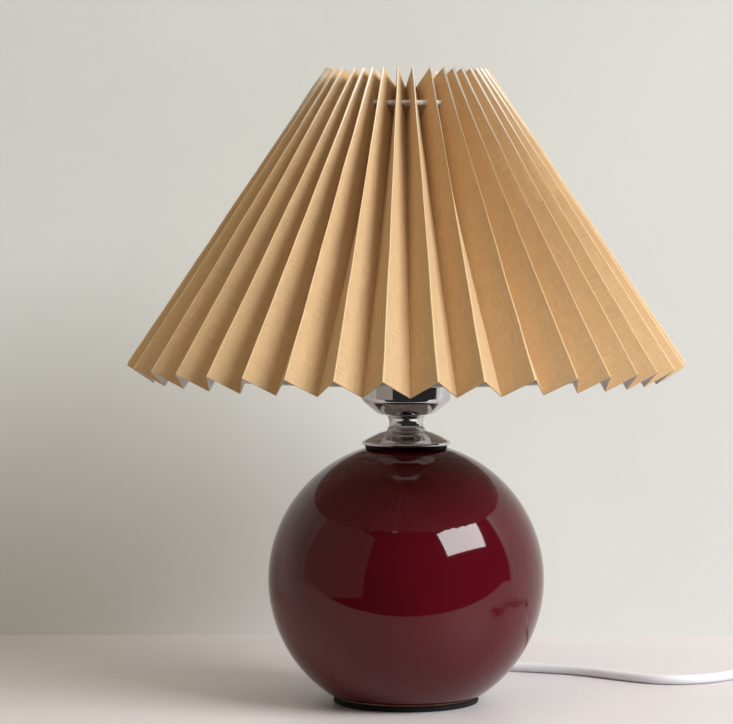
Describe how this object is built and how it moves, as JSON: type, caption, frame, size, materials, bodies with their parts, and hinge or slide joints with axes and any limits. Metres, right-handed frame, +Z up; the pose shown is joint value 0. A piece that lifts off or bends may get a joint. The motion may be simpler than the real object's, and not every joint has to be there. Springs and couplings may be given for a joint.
{
  "type": "bedside lamp",
  "caption": "Small table lamp with a round glazed ceramic base, chromed neck, screw-in LED bulb, pleated linen shade and a white mains cord with inline switch",
  "frame": {"origin": "centre of the foot pad's underside, on the table", "axes": "+Z up, -Y towards the viewer, +X to the viewer's right; the mains cord leaves the ball towards +Y"},
  "size_m": [0.4934, 0.299, 0.3403],
  "materials": {
    "black_felt": "matt felt-faced rubber",
    "plated_steel": "zinc or nickel plated",
    "bronzed_steel": "dark bronze finish",
    "red_glaze": "deep burgundy glaze, glossy",
    "black_rubber": "matt",
    "chrome": "polished chrome plate",
    "white_resin": "smooth",
    "steatite": "unglazed",
    "brass": "bare brass",
    "brown_insulation": "smooth",
    "blue_insulation": "smooth",
    "black_insulation": "smooth",
    "white_cord": "soft sheath",
    "clear_nylon": "natural nylon",
    "black_glass": "glossy",
    "opal": "opal diffuser",
    "white_board": "solder mask",
    "yellow_phosphor": "phosphor",
    "white_wire": "white coated wire",
    "tan_linen": "natural linen laminated on a white lining",
    "white_string": "twisted cotton cord",
    "white_plastic": "moulded"
  },
  "bodies": {
    "lamp": {"foot_pad": "black_felt", "base_plate": "bronzed_steel", "ceramic_ball": "red_glaze", "threaded_tube": "plated_steel", "inner_washer": "plated_steel", "inner_nut": "plated_steel", "neck_gasket": "black_rubber", "neck_cap": "chrome", "neck_spool": "chrome", "holder_cup": "chrome", "cup_nut": "plated_steel", "holder_cap": "white_resin", "holder_sleeve": "white_resin", "holder_core": "steatite", "contact_rivets": "brass", "screw_shell": "brass", "centre_contact": "brass", "terminals": "brass", "terminal_screws": "plated_steel", "live_wire": "brown_insulation", "neutral_wire": "blue_insulation", "inner_cord": "white_cord", "cord_bush": "white_cord", "cord_stop": "clear_nylon", "cord_lead": "white_cord", "switch_base": "white_plastic", "switch_cover": "white_plastic", "switch_screws": "plated_steel", "switch_reliefs": "white_plastic", "switch_cord_ends": "white_cord", "switch_contacts": "brass", "switch_wires": "brown_insulation", "cord_link": "white_cord", "cord_coil": "white_cord", "coil_ties": "clear_nylon", "cord_tail": "white_cord", "plug_body": "white_plastic", "plug_pins": "plated_steel", "pin_sleeves": "black_insulation"},
    "switch_rocker": {"switch_rocker": "white_plastic"},
    "bulb_lift": {"bulb_tip": "plated_steel"},
    "bulb": {"bulb_insulator": "black_glass", "bulb_cap": "plated_steel", "bulb_housing": "white_resin", "bulb_globe": "opal", "led_board": "white_board", "led_chips": "yellow_phosphor"},
    "nut_lift": {"nut_washer": "plated_steel"},
    "nut": {"shade_nut": "white_resin"},
    "shade": {"fitter_ring": "white_wire", "bottom_ring": "white_wire", "top_ring": "white_wire", "shade_ribs": "white_wire", "shade_spokes": "white_wire", "pleated_shade": "tan_linen", "gathering_cord": "white_string"}
  },
  "joints": [
    {"name": "switch_rock", "type": "hinge", "parent": "lamp", "child": "switch_rocker", "pos_m": [0.27411, 0.0725, 0.01], "axis": [0.342, 0.9397, 0], "range_deg": [0, 14]},
    {"name": "bulb_rise", "type": "slide", "parent": "lamp", "child": "bulb_lift", "axis": [0, 0, 1], "range_m": [0, 0.01633]},
    {"name": "bulb_turn", "type": "hinge", "parent": "bulb_lift", "child": "bulb", "pos_m": [0, 0, 0.2], "axis": [0, 0, 1], "range_deg": [0, 1621]},
    {"name": "nut_rise", "type": "slide", "parent": "lamp", "child": "nut_lift", "axis": [0, 0, 1], "range_m": [0, 0.0075]},
    {"name": "nut_turn", "type": "hinge", "parent": "nut_lift", "child": "nut", "pos_m": [0, 0, 0.207], "axis": [0, 0, 1], "range_deg": [0, 1081]},
    {"name": "shade_turn", "type": "hinge", "parent": "lamp", "child": "shade", "pos_m": [0, 0, 0.201], "axis": [0, 0, 1], "continuous": true}
  ],
  "couplings": [
    {"joint": "bulb_turn", "follows": "bulb_rise", "rad_per_m": 1731.4},
    {"joint": "nut_turn", "follows": "nut_rise", "rad_per_m": 2513.3}
  ]
}
